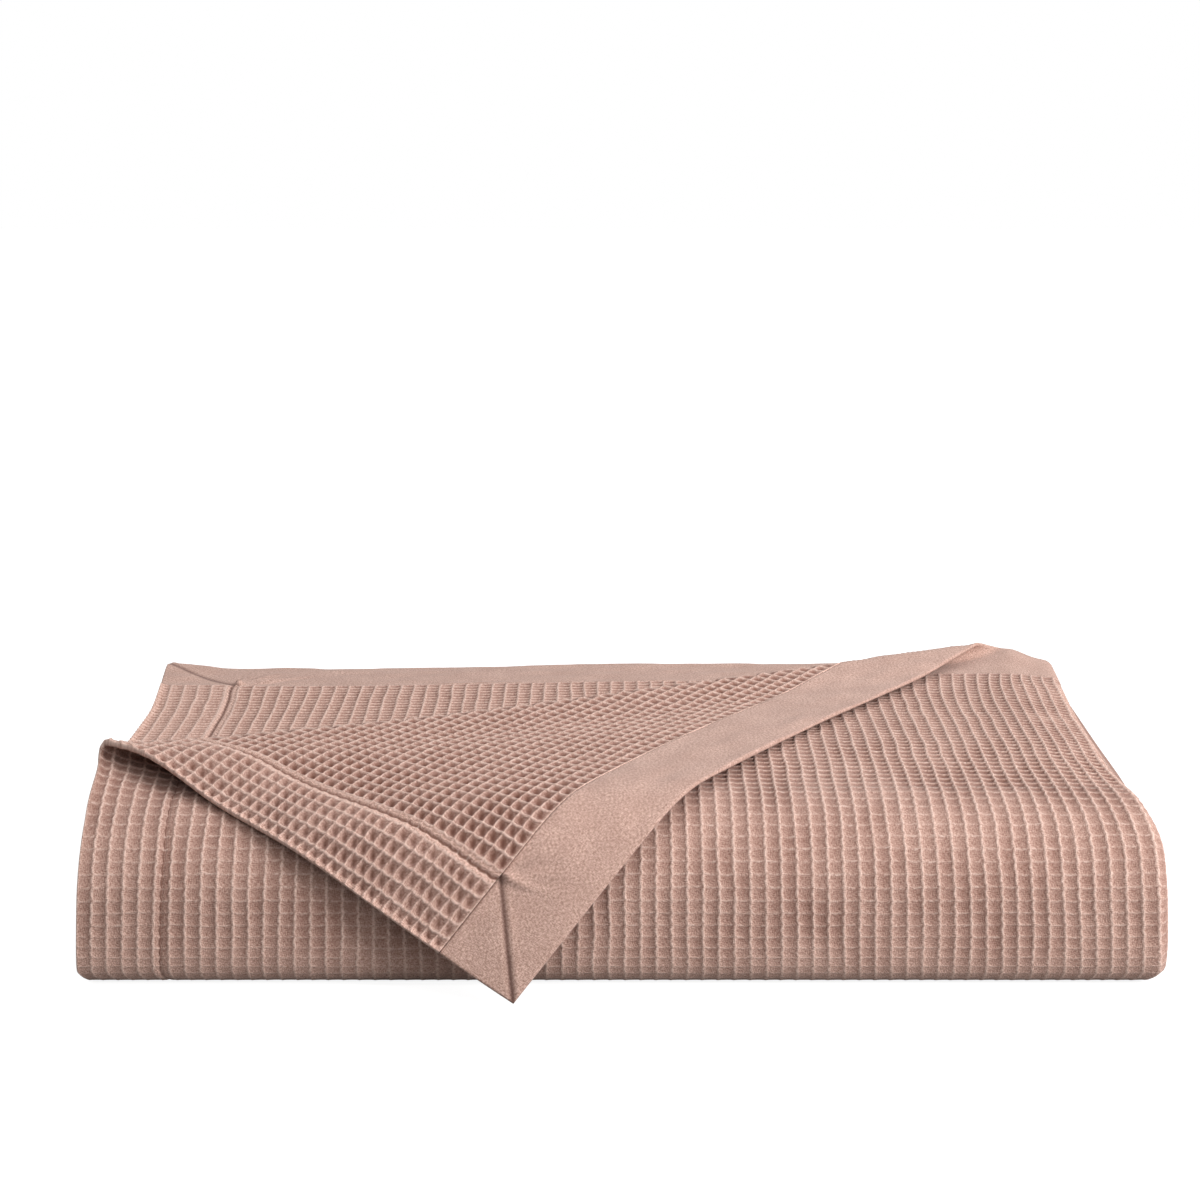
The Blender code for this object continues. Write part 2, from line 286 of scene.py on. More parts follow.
# Studio: key light, sky and floor
KEY_POWER = 1.12
KEY_SIZE = 1.2
KEY_AWAY = 2.4
KEY_FROM = (0.80, -0.40, 0.45)
SKY_LOW = 0.04
SKY_EDGE = 0.20
SKY_HIGH = 1.26
SKY_FROM = (0.05, -0.10, 0.99)
FLOOR_BOUNCE = 0.30
FLOOR_WASH = 0.90
FLOOR_HALF = 6.0

Leg = namedtuple("Leg", "start span length turn along up heading steps")


def smooth(part):
    """Ease from 0 to 1."""
    part = np.clip(part, 0.0, 1.0)
    return part * part * (3.0 - 2.0 * part)


def bump(part):
    """A soft hump: 1 at 0, and 0 beyond -1 and 1."""
    return 1.0 - smooth(np.abs(part))


# ---- The fold -----------------------------------------------------------------------------------


def point_on(leg, part):
    """Place and heading at a part of one leg."""
    heading = leg.heading + leg.turn * part
    if leg.turn == 0.0:
        reach = leg.length * part
        return leg.along + reach * np.cos(heading), leg.up + reach * np.sin(heading), heading
    radius = leg.length / leg.turn
    along = leg.along + radius * (np.sin(heading) - math.sin(leg.heading))
    up = leg.up - radius * (np.cos(heading) - math.cos(leg.heading))
    return along, up, heading


def lay_out(start, heading, pieces):
    """Join pieces of (span of cloth, length, turn, steps) end to end."""
    legs = []
    begun = 0.0
    along, up = start
    for span, length, turn, steps in pieces:
        legs.append(Leg(begun, span, length, turn, along, up, heading, steps))
        along, up, heading = point_on(legs[-1], 1.0)
        begun += span
    return legs


def straight(length, steps, short=0.0):
    """A straight piece, which can take less cloth than its length."""
    return (length - short, length, 0.0, steps)


def half_turn(radius, way, steps, offset=0.0):
    """A roll of half a turn, up or down, whose cloth may lie outside it by an offset."""
    return (math.pi * (radius + way * offset), math.pi * radius, way * math.pi, steps)


def across_route():
    """Section of the pack: layer 1, round to layer 4, back as layer 3, and out again as layer 2.

    The last number of each piece, here and in along_route(), is how many steps its grid takes.
    """
    pieces = (
        straight(ROLL_RIGHT - LEFT_EDGE, 16),
        half_turn(LAYER_1, -1, 10),
        straight(ROLL_RIGHT - ROLL_LEFT, 12),
        half_turn(PITCH / 2.0, -1, 6),
        straight(ROLL_RIGHT - ROLL_LEFT, 12),
        half_turn(PITCH / 2.0, 1, 6),
        straight(ROLL_RIGHT - SECOND_EDGE, 16),
    )
    return lay_out((LEFT_EDGE, LAYER_1), 0.0, pieces)


def along_route():
    """Six runs of the pack, level 6 first, with its front rolls inside one another."""
    run = BACK - FRONT
    outer, middle, inner = (LEVEL * half for half in (2.5, 1.5, 0.5))
    pieces = (
        straight(TOP_BACK - BACK, 2),
        straight(run, 14, TOP_SHORT),
        half_turn(outer, 1, 20, LAYER_1),
        straight(run, 14),
        half_turn(inner, 1, 14, LAYER_1),
        straight(run, 14),
        half_turn(middle, -1, 16, LAYER_1),
        straight(run, 14),
        half_turn(inner, -1, 10, LAYER_1),
        straight(run, 14),
        half_turn(inner, 1, 14, LAYER_1),
        straight(run, 14),
        straight(INNER_BACK - BACK, 1),
    )
    return lay_out((TOP_BACK, FIRST_LEVEL + 5.0 * LEVEL), math.pi, pieces)


ACROSS = across_route()
ALONG = along_route()
WIDTH = ACROSS[-1].start + ACROSS[-1].span
LENGTH = ALONG[-1].start + ALONG[-1].span
FIRST_LAYER = ACROSS[0].span
FOLD = math.hypot(TURN_V, TURN_U)
FOLD_U = TURN_U / FOLD
FOLD_V = TURN_V / FOLD


def place(legs, distance):
    """Place and heading at distances of cloth along a route."""
    starts = np.array([leg.start for leg in legs])
    index = np.clip(np.searchsorted(starts, distance, side="right") - 1, 0, len(legs) - 1)
    found = np.zeros((3,) + distance.shape)
    for number, leg in enumerate(legs):
        on_leg = index == number
        if on_leg.any():
            found[:, on_leg] = point_on(leg, (distance[on_leg] - leg.start) / leg.span)
    return found


def stations(legs, low, high):
    """Distances of cloth where a route is cut, between two of them."""
    cuts = [leg.start + leg.span * step / leg.steps for leg in legs for step in range(leg.steps)]
    return [cut for cut in cuts if low + NORMAL_STEP < cut < high - NORMAL_STEP]


def settle(x, d, z, v, pack_z):
    """Lean and sag places in the square stack to where the cloth has settled."""
    lean = LEAN * (z - MID_Z)
    foot = FOOT * np.clip(1.0 - z / FOOT_OVER, 0.0, 1.0) ** 2
    d = d + (lean - foot) * (1.0 - smooth((d - LEAN_FROM) / LEAN_OVER))
    height = smooth((pack_z - DRAW_FROM) / DRAW_OVER)
    edge = (np.minimum(np.abs(x), ROLL_RIGHT) / DRAW_X) ** 4
    x = x + WANDER * np.sin(WANDER_RATE * v) * smooth((v - TOP_BACK) / TOP_BACK) * edge
    shoulder = 1.0 - smooth(d / SHOULDER_OVER)
    slack = CORNER_OUT * smooth((d - CENTRE_D) / BACK) + SHOULDER_OUT * shoulder
    x = np.where(x > 0.0, x - DRAW_IN * height * edge * (1.0 - slack), x)
    x = x - TUCK * np.sign(x) * edge * (1.0 - smooth(z / TUCK_OVER))
    z = z * (1.0 - SAG * smooth((SAG_FROM - d) / SAG_OVER))
    corner = smooth((d - CORNER_FROM) / CORNER_OVER)
    right_drop = RIGHT_DROP * (1.0 - SHOULDER_UP * shoulder - CORNER_UP * corner)
    z = z * (1.0 - right_drop * smooth((x - RIGHT_DROP_X) / RIGHT_DROP_OVER))
    drop = smooth((DROP_X - x) / DROP_OVER) * smooth((d - DROP_BACK) / LEAN_OVER)
    return np.stack((x, d, z * (1.0 - LEFT_DROP * drop)), axis=-1)


def stack_points(u, v):
    """Middle of the cloth in the stack, before any corner is turned."""
    x, offset, _ = place(ACROSS, u)
    d, z, heading = place(ALONG, v)
    spots = settle(x, d + np.sin(heading) * offset, z - np.cos(heading) * offset, v, z)
    from_corner = np.hypot(WIDTH - u, v)
    spots[..., 0] -= FLARE * (1.0 - smooth(from_corner / FLARE_OVER))
    spots[..., 2] += CURL * (1.0 - smooth(from_corner / CURL_OVER))
    return spots


def from_fold(u, v):
    """Distance along the fold of the turned corner, and across it on to the stack."""
    along = (u * TURN_U - (v - TURN_V) * TURN_V) / FOLD
    across = (u / TURN_U + v / TURN_V - 1.0) * TURN_U * TURN_V / FOLD
    return along, across


def to_flat(along, across):
    """Flat place of a place along the fold and across it."""
    return along * FOLD_U + across * FOLD_V, TURN_V - along * FOLD_V + across * FOLD_U


def slope_at(reach, edge, tip):
    """Downward angle of the turned part at a reach across its bending axis."""
    first = SLOPE + EDGE_SLOPE * edge
    last = FALL + FALL_TIP * tip
    angle = first * smooth((reach - SLOPE_AT) / SLOPE_OVER + 0.5)
    return angle + (last - first) * smooth((reach - DROP_AT - DROP_AT_TIP * tip) / FALL_OVER + 0.5)


def lie_points(u, v):
    """Middle of the turned part, from where it lies flat to where it falls to the floor."""
    along, across = from_fold(u, v)
    p = along * FOLD_U - across * FOLD_V
    q = TURN_V - (along * FOLD_V + across * FOLD_U)
    cos_axis, sin_axis = math.cos(AXIS), math.sin(AXIS)
    beside, reach = p * cos_axis - q * sin_axis, p * sin_axis + q * cos_axis
    edge = np.exp(-np.maximum(beside + TURN_V * sin_axis, 0.0) / EDGE_FADE)
    tip = p / TIP_SPAN
    level = SLOPE_AT - 0.5 * SLOPE_OVER
    span = np.maximum(reach - level, 0.0)
    ahead = np.minimum(reach, level)
    fall = np.zeros_like(ahead)
    for step in range(INTEGRAL_STEPS):
        angle = slope_at(level + span * (step + 0.5) / INTEGRAL_STEPS, edge, tip)
        ahead = ahead + np.cos(angle) * span / INTEGRAL_STEPS
        fall = fall + np.sin(angle) * span / INTEGRAL_STEPS
    warp = 4.0 * tip * (1.0 - tip)
    x = TURN_X + beside * cos_axis + ahead * sin_axis + WARP_X * warp
    d = TURN_D + beside * sin_axis - ahead * cos_axis + WARP_D * warp
    return np.stack((x, d, TURN_Z + REST_LIFT + EDGE_LIFT * edge - fall), axis=-1)


def crease_at(along):
    """How far the crease bows from the straight fold."""
    part = np.clip(along / FOLD, 0.0, 1.0)
    return CREASE_BOW * 4.0 * part * (1.0 - part)


def tent(along, rise):
    """Lift and outward push of the cloth near the left end of the crease."""
    share = rise * np.exp(-np.maximum(along, 0.0) / TENT_FADE)
    return np.stack((-TENT_OUT * share, 0.0 * share, TENT * share), axis=-1)


def lower_points(along, across):
    """Middle of the top layer under the turned part, drawn to meet it at the crease."""
    u, v = to_flat(along, across)
    spots = stack_points(np.maximum(u, 0.0), np.maximum(v, 0.0))
    held = np.clip(along, 0.0, FOLD)
    crease = crease_at(held)
    past = across - crease
    over = SHIFT_LEFT + (SHIFT_OVER - SHIFT_LEFT) * smooth(held / LOOP_FADE)
    fade = (1.0 - smooth(past / over)) * (1.0 - smooth((u - TURN_U) / (FIRST_LAYER - TURN_U)))
    edge_u, edge_v = to_flat(held, crease)
    shift = lie_points(edge_u, edge_v) - stack_points(np.maximum(edge_u, 0.0), np.maximum(edge_v, 0.0))
    shift[..., 2] = 0.0
    spots += shift * fade[..., None]
    spots[..., 2] += RIGHT_RISE * bump((u - RIGHT_RISE_U) / RIGHT_RISE_OVER) * (1.0 - smooth(v / BAND))
    return spots + tent(along, np.maximum(1.0 - np.maximum(past, 0.0) / TENT_OVER, 0.0) ** TENT_POWER)


def loop_height(along):
    """Height of the loop of cloth in the crease, lower at the crease's left end."""
    return LOOP_LEFT + (LOOP_HEIGHT - LOOP_LEFT) * smooth(along / LOOP_FADE)


def upper_points(along, across):
    """Middle of the turned part, lifted beside the crease to leave room for the loop."""
    spots = lie_points(*to_flat(along, across))
    crease = crease_at(along)
    fade = 1.0 - smooth((crease - across) / BULGE_OVER)
    near = fade > 0.0
    held = along[near]
    at_crease = lie_points(*to_flat(held, crease[near]))[..., 2]
    wanted = lower_points(held, crease[near])[..., 2] + loop_height(held)
    spots[near, 2] += (wanted - at_crease) * fade[near]
    spots[..., 0] += tent(along, fade)[..., 0]
    return spots


def loop_points(along, past, reach):
    """Middle of the loop that joins the lower layer to the turned part."""
    crease = crease_at(along)
    part = (0.5 - 0.5 * past / reach)[..., None]
    ends = []
    for points, side in ((lower_points, 1.0), (upper_points, -1.0)):
        end = points(along, crease + side * reach)
        handle = end - points(along, crease + side * (reach + NORMAL_STEP))
        handle *= (LOOP_HANDLE * reach / np.linalg.norm(handle, axis=-1))[..., None]
        ends.append((end, handle))
    (first, first_handle), (last, last_handle) = ends
    rest = 1.0 - part
    spots = first * rest**3 + (first + first_handle) * 3.0 * rest * rest * part
    return spots + (last + last_handle) * 3.0 * rest * part * part + last * part**3


def fold_points(u, v):
    """Middle of the folded cloth at flat places, in the part's frame."""
    along, across = from_fold(u, v)
    reach = LOOP_REACH * loop_height(along)
    past = across - crease_at(along)
    near = (u <= FIRST_LAYER) & (v <= ALONG[2].start + NEAR_FOLD)
    lower, upper = near & (past >= reach), near & (past <= -reach)
    loop = near & ~lower & ~upper
    spots = np.zeros(u.shape + (3,))
    for mask, points, places in (
        (~near, stack_points, (u, v)),
        (lower, lower_points, (along, across)),
        (upper, upper_points, (along, across)),
        (loop, loop_points, (along, past, reach)),
    ):
        if mask.any():
            spots[mask] = points(*(values[mask] for values in places))
    spots[..., 1] -= CENTRE_D
    return spots


def fold_normals(u, v):
    """Face-side normals of the folded cloth."""
    low_u, high_u = np.maximum(u - NORMAL_STEP, 0.0), np.minimum(u + NORMAL_STEP, WIDTH)
    low_v, high_v = np.maximum(v - NORMAL_STEP, 0.0), np.minimum(v + NORMAL_STEP, LENGTH)
    along_u = fold_points(high_u, v) - fold_points(low_u, v)
    along_v = fold_points(u, high_v) - fold_points(u, low_v)
    normals = np.cross(along_v, along_u)
    return normals / np.linalg.norm(normals, axis=-1)[..., None]


# ---- The weave ----------------------------------------------------------------------------------


def soft_noise(u, v, size, seed):
    """Smooth random values from -1 to 1 over the flat cloth, size apart."""
    across, along = int(WIDTH / size) + 3, int(LENGTH / size) + 3
    values = np.random.default_rng(seed).uniform(-1.0, 1.0, (across, along))
    a, b = np.clip(u / size, 0.0, across - 2.001), np.clip(v / size, 0.0, along - 2.001)
    i, j = a.astype(int), b.astype(int)
    s, t = smooth(a - i), smooth(b - j)
    low = values[i, j] * (1.0 - s) + values[i + 1, j] * s
    high = values[i, j + 1] * (1.0 - s) + values[i + 1, j + 1] * s
    return low * (1.0 - t) + high * t


def drift(u, v, kind):
    """One soft noise, scaled by its share."""
    share, size, seed = kind
    return share * soft_noise(u, v, size, seed)


def from_edge(u):
    """Distance from the nearer side edge of the cloth."""
    return np.minimum(u, WIDTH - u)


def cell_place(u, v):
    """Columns from the nearer side edge and rows from the band."""
    return from_edge(u) / COLUMN, (v - BAND) / ROW


def ridge(cells):
    """1 on a line of the weave and 0 half way to the next."""
    return 1.0 - np.abs(cells - np.round(cells)) * 2.0


def profile(cells, heights):
    """Height across a cell, from its heights at the cell's own steps."""
    return np.interp(cells % 1.0, (*CELL_STEPS, 1.0), (*heights, heights[0]))


def shifted(u, v):
    """Flat places moved so that the ribs scallop and the rows hang between them."""
    column, row = cell_place(u, v)
    in_waffle = smooth(row / 0.5)
    bow_u = RIB_BOW * COLUMN * np.sin(math.pi * (row % 1.0)) * np.where(u > WIDTH / 2.0, 1.0, -1.0)
    bow_v = ROW_BOW * ROW * np.sin(math.pi * (column % 1.0))
    bow_u += COLUMN * drift(u, v, RIB_DRIFT)
    bow_v += ROW * drift(u, v, ROW_DRIFT)
    inside = smooth(from_edge(u) / COLUMN)
    return u + bow_u * inside * in_waffle, v + bow_v * in_waffle


def wrong_shown(u, v):
    """1 where the wrong side is the one that shows: on the turned corner and the second layer."""
    past = from_fold(u, v)[1]
    return np.where(u > WIDTH / 2.0, 1.0, 1.0 - smooth(past / COLUMN + 0.5))


def hem_turning(edge):
    """1 where the edge of a turned hem takes the place of the cells."""
    turning = smooth((edge - HEM_COLUMNS * COLUMN + TURNING_MARGIN) / TURNING_IN)
    return turning * (1.0 - smooth((edge - HEM_RIDGES[1] - TURNING_MARGIN) / TURNING_OUT))


def hem_profile(u, v, height):
    """Wrong side of a turned hem: a raised width that ends in two ridges beside its stitch line."""
    edge = from_edge(u)
    low, high = HEM_RIDGES
    knots = 1.0 - HEM_KNOTS + HEM_KNOTS * ridge((v - BAND) / ROW)
    raised = HEM_RAISE * (1.0 - smooth((edge - high) / HEM_FALL))
    ridges = bump((edge - low) / HEM_RIDGE_OVER) + bump((edge - high) / HEM_RIDGE_OVER)
    lines = HEM_RIDGE * knots * ridges - STITCH_DEEP * bump((edge - HEM_STITCH) / STITCH_OVER)
    turning = hem_turning(edge)
    return raised + height * (1.0 - turning) + lines * turning


def waffle_sides(u, v):
    """Heights of the face and the wrong side of the waffle cloth, and how much painted shade each takes in
    its pits.
    """
    column, row = cell_place(u, v)
    edge = from_edge(u)
    in_front = smooth((v - TURN_V) / FRONT_OVER)
    depth = 1.0 + drift(u, v, DEPTH_DRIFT)
    depth = depth * (START_DEPTH + (1.0 - START_DEPTH) * smooth(row / START_ROWS))
    rows = ROWS_ON_TOP + (ROWS_IN_FRONT - ROWS_ON_TOP) * in_front
    pressed = 1.0 - PRESSED * smooth((v - PRESSED_FROM) / PRESSED_OVER)
    eased = 1.0 - FRONT_EASED * in_front
    on_hem = 1.0 - HEM_EASED * (1.0 - smooth((edge - HEM_COLUMNS * COLUMN) / HEM_EASED_OVER))
    face_pit = (1.0 - profile(column, FACE_RIB)) * (1.0 - rows * profile(row, FACE_ROW))
    face_pit = face_pit * depth * pressed * eased
    wrong_pit = (1.0 - np.maximum(ridge(column), ridge(row)) ** WRONG_POWER) * depth * on_hem
    face = CREST - (CREST + FACE_PIT) * face_pit
    face -= FACE_STITCH_DEEP * bump((edge - HEM_STITCH) / FACE_STITCH_OVER)
    wrong = CREST - (CREST + WRONG_PIT) * wrong_pit
    shown = wrong_shown(u, v)
    under = np.maximum(THIN - face, PIT)
    over = np.maximum(THIN - wrong, PIT)
    face = face * (1.0 - shown) + over * shown
    wrong = hem_profile(u, v, wrong * shown + under * (1.0 - shown))
    at_edge = bump((edge - EDGE_ROLL_AT) / EDGE_ROLL_OVER)
    uneven = EDGE_ROLL_EVEN + (1.0 - EDGE_ROLL_EVEN) * ridge(row)
    roll = EDGE_ROLL * at_edge * uneven * (1.0 - in_front)
    # Painted shade in the pits of the face, more on top than in front and uneven at random; on the wrong
    # side in its pits and along the hem's stitch line, but not where the side edge rolls
    pit_shade = PIT_SHADE_ON_TOP + (PIT_SHADE_IN_FRONT - PIT_SHADE_ON_TOP) * in_front
    pit_shade = pit_shade * (1.0 + drift(u, v, PIT_SHADE_DRIFT))
    turning = hem_turning(edge)
    stitched = STITCH_SHADE * bump((edge - HEM_STITCH) / STITCH_OVER)
    wrong_shade = (wrong_pit * on_hem * (1.0 - turning) + stitched * turning) * (1.0 - at_edge)
    return face + roll, wrong + roll, pit_shade * face_pit, wrong_shade


def plain_sides(u, v):
    """The waffle cloth where its cells are only bump, with an even painted shade for their pits."""
    level, pit_shade = np.full_like(u, CREST), np.full_like(u, PLAIN_PIT_SHADE)
    return level, hem_profile(u, v, level), pit_shade, pit_shade


def band_sides(u, v):
    """Both sides of a plain band, with its soft creases and the groove of its mitre, whose share of painted
    shade is returned last.
    """
    edge = from_edge(u)
    crease = drift(u, v * BAND_CREASE_SQUEEZE, BAND_CREASE) + drift(u, v, BAND_RIPPLE)
    for angle, length, depth in FAN_CREASES:
        run = (edge - FAN_U) * math.cos(angle) + (FAN_V - v) * math.sin(angle)
        beside = (FAN_V - v) * math.cos(angle) - (edge - FAN_U) * math.sin(angle)
        wave = bump(beside / FAN_OVER) - FAN_DIP * bump((beside + FAN_DIP_AT) / FAN_DIP_OVER)
        crease += depth * wave * smooth(run / FAN_START) * (1.0 - smooth(run / length))
    across = (edge - MITRE_SLOPE * v) / math.hypot(1.0, MITRE_SLOPE)
    groove = bump(across / MITRE_OVER) * (v < BAND)
    lip = LIP_HIGH * bump((across - LIP_AT) / LIP_OVER) * (v < BAND)
    wrong = BAND_HALF + crease + lip - MITRE_DEEP * groove
    return np.full_like(u, BAND_HALF), np.maximum(wrong, BAND_THIN), np.zeros_like(u), groove


def rounded(height, rim):
    """A height that falls off near the rim of the cloth."""
    return height * (RIM_HEIGHT + (1.0 - RIM_HEIGHT) * smooth(rim / EDGE_ROUND))


# ---- Meshes -------------------------------------------------------------------------------------


def add_rim(values, low, high):
    """Grid values with one more beside each end, so that the rim is round."""
    return np.array([low, low + EDGE_ROUND, *values, high - EDGE_ROUND, high])


def grid_faces(keep, columns, rows):
    """Faces of a closed slab over the kept cells of a grid: both sides and the walls of its outline."""
    corner = np.arange(columns * rows).reshape(columns, rows)
    a, b, c, d = corner[:-1, :-1], corner[1:, :-1], corner[1:, 1:], corner[:-1, 1:]
    top = np.stack((a, d, c, b), axis=-1)[keep]
    shift = columns * rows
    bottom = np.stack((a, b, c, d), axis=-1)[keep] + shift
    padded = np.pad(keep, 1)
    inner = padded[1:-1, 1:-1]
    walls = []
    for beside, start, end in (
        (padded[:-2, 1:-1], a, d),
        (padded[2:, 1:-1], c, b),
        (padded[1:-1, :-2], b, a),
        (padded[1:-1, 2:], d, c),
    ):
        open_side = inner & ~beside
        first, last = start[open_side], end[open_side]
        walls.append(np.stack((first, first + shift, last + shift, last), axis=-1))
    return np.concatenate((top, bottom, *walls))


def slab(name, us, vs, sides, moved, keep=None):
    """A closed sheet over a grid of flat places."""
    columns, rows = len(us), len(vs)
    u, v = np.meshgrid(us, vs, indexing="ij")
    if keep is None:
        keep = np.ones((columns - 1, rows - 1), bool)
    flat_u, flat_v = moved(u, v)
    face, wrong, face_pit, wrong_pit = sides(u, v)
    spots, normals = fold_points(flat_u, flat_v), fold_normals(flat_u, flat_v)
    points = np.concatenate((
        (spots + normals * face[..., None]).reshape(-1, 3),
        (spots - normals * wrong[..., None]).reshape(-1, 3),
    ))
    points[:, 2] = np.maximum(points[:, 2], 0.0)
    faces = grid_faces(keep, columns, rows)
    used, faces = np.unique(faces, return_inverse=True)
    faces = faces.reshape(-1, 4)
    mesh = bpy.data.meshes.new(name)
    mesh.from_pydata(points[used], [], faces.tolist())
    mesh.polygons.foreach_set("use_smooth", np.ones(len(faces), bool))
    # The pit attribute holds how much painted shade each place takes: in the waffle's pits and stitch line,
    # or in the band's mitre groove
    pit = mesh.attributes.new("pit", "FLOAT", "POINT")
    pit.data.foreach_set("value", np.concatenate((face_pit, wrong_pit), axis=None)[used].astype(np.float32))
    flat = np.stack((u.ravel(), v.ravel()), axis=-1)
    cells = np.stack([values.ravel() for values in cell_place(u, v)], axis=-1)
    for layer, values in (("flat", flat), ("cells", cells)):
        uv = mesh.uv_layers.new(name=layer)
        doubled = np.concatenate((values, values))[used]
        uv.data.foreach_set("uv", doubled[faces.ravel()].astype(np.float32).ravel())
    piece = bpy.data.objects.new(name, mesh)
    bpy.context.scene.collection.objects.link(piece)
    return piece


def cell_cuts(first, count, pitch, origin=0.0, way=1.0):
    """Grid values of whole cells from an origin."""
    cells = [cell + step for cell in range(first, first + count) for step in CELL_STEPS]
    return np.array(sorted(origin + way * pitch * cell for cell in [*cells, first + count]))


def with_hem(us):
    """Grid values with the ridges of the hem's edge in place of the sixth column."""
    low, high = HEM_COLUMNS * COLUMN, (HEM_COLUMNS + 1) * COLUMN
    spare = (from_edge(us) > low + NORMAL_STEP) & (from_edge(us) < high - NORMAL_STEP)
    marks = [*EDGE_CUTS, *HEM_CUTS]
    if us[-1] > WIDTH / 2.0:
        marks = [WIDTH - mark for mark in marks]
    return np.array(sorted([*us[~spare], *marks]))


def unmoved(u, v):
    """Flat places as they are, where no cells are modelled."""
    return u, v


def with_round_rim(sides, v_low, v_high):
    """The same sides, thinner along the side edges and along the ends that they reach."""
    def thinned(u, v):
        face, wrong, face_pit, wrong_pit = sides(u, v)
        rim = np.minimum(from_edge(u), np.minimum(v - v_low, v_high - v))
        return rounded(face, rim), rounded(wrong, rim), face_pit, wrong_pit

    return thinned


def fine_waffle(name, us, vs):
    """A block of the waffle cloth with its cells modelled."""
    return slab(name, us, vs, with_round_rim(waffle_sides, -1.0, LENGTH + 1.0), shifted)


def make_waffle():
    """The waffle cloth: three fine blocks where it shows, and the rest of the cloth in one piece."""
    top_v = BAND + TOP_ROWS * ROW
    front_v = top_v + FRONT_ROWS * ROW
    top_u = TOP_COLUMNS * COLUMN
    second_u = WIDTH - SECOND_COLUMNS * COLUMN
    second_v = BAND + SECOND_ROWS * ROW
    us = with_hem(cell_cuts(0, TOP_COLUMNS, COLUMN))
    top = fine_waffle("waffle_top", us, cell_cuts(0, TOP_ROWS, ROW, BAND))
    front = fine_waffle("waffle_front", us, cell_cuts(TOP_ROWS, FRONT_ROWS, ROW, BAND))
    us = with_hem(cell_cuts(0, SECOND_COLUMNS, COLUMN, WIDTH, -1.0))
    second = fine_waffle("waffle_second", us, cell_cuts(0, SECOND_ROWS, ROW, BAND))
    low, high = BAND, LENGTH - BAND
    marks = [0.0, EDGE_ROUND, *HEM_ROUGH_CUTS]
    us = np.unique([*marks, top_u, second_u, *(WIDTH - mark for mark in marks),
                    *stations(ACROSS, 0.0, WIDTH)])
    vs = np.unique([low, second_v, top_v, front_v, high, *stations(ALONG, low, high)])
    middle_u, middle_v = (us[1:] + us[:-1]) / 2.0, (vs[1:] + vs[:-1]) / 2.0
    keep = ~((middle_u < top_u)[:, None] & (middle_v < front_v)[None, :])
    keep &= ~((middle_u > second_u)[:, None] & (middle_v < second_v)[None, :])
    rest = slab("waffle_rest", us, vs, with_round_rim(plain_sides, -1.0, LENGTH + 1.0), unmoved, keep)
    return rest, [top, front, second]


def make_band(name, v_low, v_high, fine):
    """One plain end band."""
    sides = with_round_rim(band_sides, v_low, v_high)
    if fine:
        corner = np.arange(BAND_CORNER_STEP, BAND, BAND_CORNER_STEP)
        middle = np.arange(BAND, FIRST_LAYER, BAND_LONG_STEP)
        second = WIDTH - middle
        us = add_rim([*corner, *middle, *(WIDTH - corner), *second,
                      *stations(ACROSS, FIRST_LAYER, second.min())], 0.0, WIDTH)
        vs = np.arange(BAND_CROSS_STEP, v_high - BAND_CROSS_STEP / 2.0, BAND_CROSS_STEP)
    else:
        us = add_rim(stations(ACROSS, 0.0, WIDTH), 0.0, WIDTH)
        vs = np.linspace(v_low, v_high, INNER_BAND_CUTS)[1:-1]
    return slab(name, np.unique(us), np.unique(add_rim(vs, v_low, v_high)), sides, unmoved)


# ---- Materials ----------------------------------------------------------------------------------


# Dusty rose: dark and light yarn of the waffle, the painted shade of its pits and the painted highlight of
# its crests; dark and light yarn of the band, and the painted shade of its mitre's groove
WAFFLE_DARK = (0.36, 0.205, 0.160)
WAFFLE_LIGHT = (0.76, 0.52, 0.435)
PIT_SHADE_COLOUR = (0.17, 0.070, 0.048)
CREST_HIGHLIGHT_COLOUR = (0.90, 0.70, 0.61)
BAND_DARK = (0.32, 0.190, 0.150)
BAND_LIGHT = (0.68, 0.465, 0.39)
GROOVE_SHADE_COLOUR = (0.14, 0.07, 0.055)

# Matte cotton
ROUGHNESS = 0.9
SPECULAR = 0.15
SHEEN = 0.12
SHEEN_ROUGHNESS = 0.5

# Yarn: its size, how it is stretched along itself, and how strongly its noise is spread
YARN = 0.0008
YARN_STRETCH = (0.45, 1.5)
WAFFLE_YARN_GAIN = 4.5
BAND_YARN_GAIN = 5.0

# Painted highlight as pale lines on the ribs and rows, broken up in patches, and painted shade in the pits
RIB_LINE = 0.0012
ROW_LINE = 0.0009
LINE_SHARE = 0.52
PATCH_SCALE = 160.0
PATCH_GAIN = 2.5
FUZZ_SCALE = 420.0
FUZZ_GAIN = 4.5
FUZZ = 0.8
PIT_SHARE = 0.94
PIT_POWER = 3.0

# Cloudiness of the plain band
MOTTLE_SCALE = 55.0
MOTTLE_GAIN = 2.5
MOTTLE = 0.35

# Bump: strength and height, and the shares of yarn, lines and whole cells in it
WAFFLE_BUMP = (1.0, 0.0009)
BAND_BUMP = (0.8, 0.0008)
YARN_RELIEF = 0.8
LINE_RELIEF = 0.4
CELL_RELIEF = 3.0


